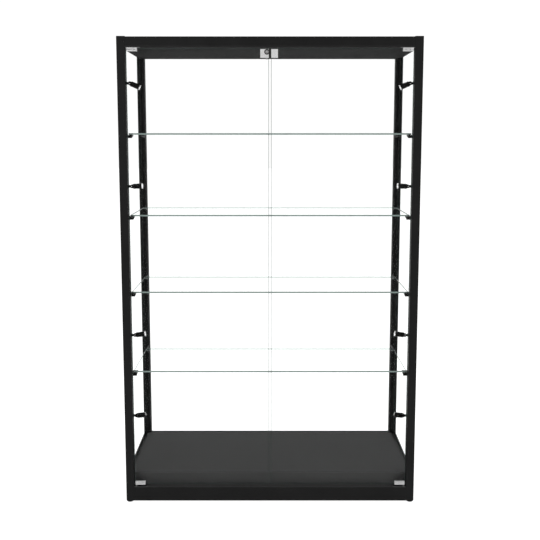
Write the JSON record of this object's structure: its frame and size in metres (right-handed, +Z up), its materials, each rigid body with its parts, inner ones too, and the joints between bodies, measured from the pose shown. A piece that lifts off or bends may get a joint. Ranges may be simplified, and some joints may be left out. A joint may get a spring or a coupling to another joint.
{
  "type": "display case",
  "caption": "Upright glass display case: black aluminium frame, two hinged glass doors with a cam lock, height-adjustable glass shelves and small aimable lamps.",
  "frame": {"origin": "on the floor under the middle of the case", "axes": "+X to the right seen from the front, +Y towards the back, +Z up; the doors face -Y"},
  "size_m": [1.2, 0.6, 1.9],
  "materials": {
    "frame_black": "satin black powder coat on aluminium extrusion",
    "cast_zinc": "as cast",
    "zinc_screw": "zinc plated",
    "panel_black": "satin black",
    "deck_grey": "matt dark grey",
    "clear_glass": "clear float glass with ground edges",
    "black_seal": "matt",
    "driver_plastic": "moulded",
    "inlet_plastic": "moulded",
    "chrome": "satin chrome plate",
    "lock_steel": "nickel plated",
    "lamp_black": "black anodised with a bright bezel",
    "bracket_black": "satin black",
    "foot_black": "moulded round a stud"
  },
  "bodies": {
    "frame": {"left_front_post": "frame_black", "right_front_post": "frame_black", "left_rear_post": "frame_black", "right_rear_post": "frame_black", "front_top_rail": "frame_black", "rear_top_rail": "frame_black", "left_top_rail": "frame_black", "right_top_rail": "frame_black", "front_base_rail": "frame_black", "rear_base_rail": "frame_black", "left_base_rail": "frame_black", "right_base_rail": "frame_black", "corner_blocks": "cast_zinc", "frame_screws": "zinc_screw", "roof_panel": "panel_black", "ceiling_panel": "panel_black", "floor_deck": "deck_grey", "left_side_glass": "clear_glass", "right_side_glass": "clear_glass", "back_glass": "clear_glass", "glazing_seals": "black_seal", "lamp_driver": "driver_plastic", "power_inlet": "inlet_plastic", "lamp_stems": "lamp_black", "hinge_sockets": "lock_steel"},
    "left_door": {"left_door_glass": "clear_glass", "left_door_clips": "chrome", "lock_case": "chrome"},
    "right_door": {"right_door_glass": "clear_glass", "right_door_clips": "chrome", "lock_keeper": "chrome"},
    "lock_plug": {"lock_plug": "lock_steel"},
    "shelf_1": {"shelf_1_glass": "clear_glass", "shelf_1_brackets": "bracket_black"},
    "shelf_2": {"shelf_2_glass": "clear_glass", "shelf_2_brackets": "bracket_black"},
    "shelf_3": {"shelf_3_glass": "clear_glass", "shelf_3_brackets": "bracket_black"},
    "shelf_4": {"shelf_4_glass": "clear_glass", "shelf_4_brackets": "bracket_black"},
    "left_lamp_1_yoke": {"left_lamp_1_yoke": "lamp_black"},
    "left_lamp_1_head": {"left_lamp_1_head": "lamp_black"},
    "left_lamp_2_yoke": {"left_lamp_2_yoke": "lamp_black"},
    "left_lamp_2_head": {"left_lamp_2_head": "lamp_black"},
    "left_lamp_3_yoke": {"left_lamp_3_yoke": "lamp_black"},
    "left_lamp_3_head": {"left_lamp_3_head": "lamp_black"},
    "left_lamp_4_yoke": {"left_lamp_4_yoke": "lamp_black"},
    "left_lamp_4_head": {"left_lamp_4_head": "lamp_black"},
    "right_lamp_1_yoke": {"right_lamp_1_yoke": "lamp_black"},
    "right_lamp_1_head": {"right_lamp_1_head": "lamp_black"},
    "right_lamp_2_yoke": {"right_lamp_2_yoke": "lamp_black"},
    "right_lamp_2_head": {"right_lamp_2_head": "lamp_black"},
    "right_lamp_3_yoke": {"right_lamp_3_yoke": "lamp_black"},
    "right_lamp_3_head": {"right_lamp_3_head": "lamp_black"},
    "right_lamp_4_yoke": {"right_lamp_4_yoke": "lamp_black"},
    "right_lamp_4_head": {"right_lamp_4_head": "lamp_black"},
    "left_front_foot": {"left_front_foot": "foot_black"},
    "left_rear_foot": {"left_rear_foot": "foot_black"},
    "right_front_foot": {"right_front_foot": "foot_black"},
    "right_rear_foot": {"right_rear_foot": "foot_black"}
  },
  "joints": [
    {"name": "left_door_hinge", "type": "hinge", "parent": "frame", "child": "left_door", "pos_m": [-0.558, -0.292, 0.9665], "axis": [0, 0, -1], "range_deg": [0, 100]},
    {"name": "right_door_hinge", "type": "hinge", "parent": "frame", "child": "right_door", "pos_m": [0.558, -0.292, 0.9665], "axis": [0, 0, 1], "range_deg": [0, 100]},
    {"name": "lock_turn", "type": "hinge", "parent": "left_door", "child": "lock_plug", "pos_m": [-0.012, -0.292, 1.841], "axis": [0, -1, 0], "range_deg": [0, 90]},
    {"name": "shelf_1_height", "type": "slide", "parent": "frame", "child": "shelf_1", "axis": [0, 0, 1], "range_m": [-0.085, 0.085]},
    {"name": "shelf_2_height", "type": "slide", "parent": "frame", "child": "shelf_2", "axis": [0, 0, 1], "range_m": [-0.075, 0.075]},
    {"name": "shelf_3_height", "type": "slide", "parent": "frame", "child": "shelf_3", "axis": [0, 0, 1], "range_m": [-0.1, 0.04]},
    {"name": "shelf_4_height", "type": "slide", "parent": "frame", "child": "shelf_4", "axis": [0, 0, 1], "range_m": [-0.1, 0.1]},
    {"name": "left_lamp_1_swivel", "type": "hinge", "parent": "frame", "child": "left_lamp_1_yoke", "pos_m": [-0.567, -0.2735, 1.722], "axis": [1, 0, 0], "range_deg": [-10, 170]},
    {"name": "left_lamp_1_tilt", "type": "hinge", "parent": "left_lamp_1_yoke", "child": "left_lamp_1_head", "pos_m": [-0.554, -0.2735, 1.722], "axis": [0, 0.9848, 0.1736], "range_deg": [-22, 53]},
    {"name": "left_lamp_2_swivel", "type": "hinge", "parent": "frame", "child": "left_lamp_2_yoke", "pos_m": [-0.567, -0.2735, 1.316], "axis": [1, 0, 0], "range_deg": [-180, 0]},
    {"name": "left_lamp_2_tilt", "type": "hinge", "parent": "left_lamp_2_yoke", "child": "left_lamp_2_head", "pos_m": [-0.554, -0.2735, 1.316], "axis": [0, -1, 0], "range_deg": [-2, 73]},
    {"name": "left_lamp_3_swivel", "type": "hinge", "parent": "frame", "child": "left_lamp_3_yoke", "pos_m": [-0.567, -0.2735, 0.707], "axis": [1, 0, 0], "range_deg": [-165, 15]},
    {"name": "left_lamp_3_tilt", "type": "hinge", "parent": "left_lamp_3_yoke", "child": "left_lamp_3_head", "pos_m": [-0.554, -0.2735, 0.707], "axis": [0, -0.9659, 0.2588], "range_deg": [-8, 67]},
    {"name": "left_lamp_4_swivel", "type": "hinge", "parent": "frame", "child": "left_lamp_4_yoke", "pos_m": [-0.567, -0.2735, 0.366], "axis": [1, 0, 0], "range_deg": [-78, 102]},
    {"name": "left_lamp_4_tilt", "type": "hinge", "parent": "left_lamp_4_yoke", "child": "left_lamp_4_head", "pos_m": [-0.554, -0.2735, 0.366], "axis": [0, 0.2079, 0.9781], "range_deg": [-50, 25]},
    {"name": "right_lamp_1_swivel", "type": "hinge", "parent": "frame", "child": "right_lamp_1_yoke", "pos_m": [0.567, -0.2735, 1.722], "axis": [1, 0, 0], "range_deg": [-10, 170]},
    {"name": "right_lamp_1_tilt", "type": "hinge", "parent": "right_lamp_1_yoke", "child": "right_lamp_1_head", "pos_m": [0.554, -0.2735, 1.722], "axis": [0, -0.9848, -0.1736], "range_deg": [-22, 53]},
    {"name": "right_lamp_2_swivel", "type": "hinge", "parent": "frame", "child": "right_lamp_2_yoke", "pos_m": [0.567, -0.2735, 1.316], "axis": [1, 0, 0], "range_deg": [-180, 0]},
    {"name": "right_lamp_2_tilt", "type": "hinge", "parent": "right_lamp_2_yoke", "child": "right_lamp_2_head", "pos_m": [0.554, -0.2735, 1.316], "axis": [0, 1, 0], "range_deg": [-2, 73]},
    {"name": "right_lamp_3_swivel", "type": "hinge", "parent": "frame", "child": "right_lamp_3_yoke", "pos_m": [0.567, -0.2735, 0.707], "axis": [1, 0, 0], "range_deg": [-165, 15]},
    {"name": "right_lamp_3_tilt", "type": "hinge", "parent": "right_lamp_3_yoke", "child": "right_lamp_3_head", "pos_m": [0.554, -0.2735, 0.707], "axis": [0, 0.9659, -0.2588], "range_deg": [-8, 67]},
    {"name": "right_lamp_4_swivel", "type": "hinge", "parent": "frame", "child": "right_lamp_4_yoke", "pos_m": [0.567, -0.2735, 0.366], "axis": [1, 0, 0], "range_deg": [-78, 102]},
    {"name": "right_lamp_4_tilt", "type": "hinge", "parent": "right_lamp_4_yoke", "child": "right_lamp_4_head", "pos_m": [0.554, -0.2735, 0.366], "axis": [0, -0.2079, -0.9781], "range_deg": [-50, 25]},
    {"name": "left_front_foot_screw", "type": "slide", "parent": "frame", "child": "left_front_foot", "axis": [0, 0, -1], "range_m": [0, 0.012]},
    {"name": "left_rear_foot_screw", "type": "slide", "parent": "frame", "child": "left_rear_foot", "axis": [0, 0, -1], "range_m": [0, 0.012]},
    {"name": "right_front_foot_screw", "type": "slide", "parent": "frame", "child": "right_front_foot", "axis": [0, 0, -1], "range_m": [0, 0.012]},
    {"name": "right_rear_foot_screw", "type": "slide", "parent": "frame", "child": "right_rear_foot", "axis": [0, 0, -1], "range_m": [0, 0.012]}
  ]
}
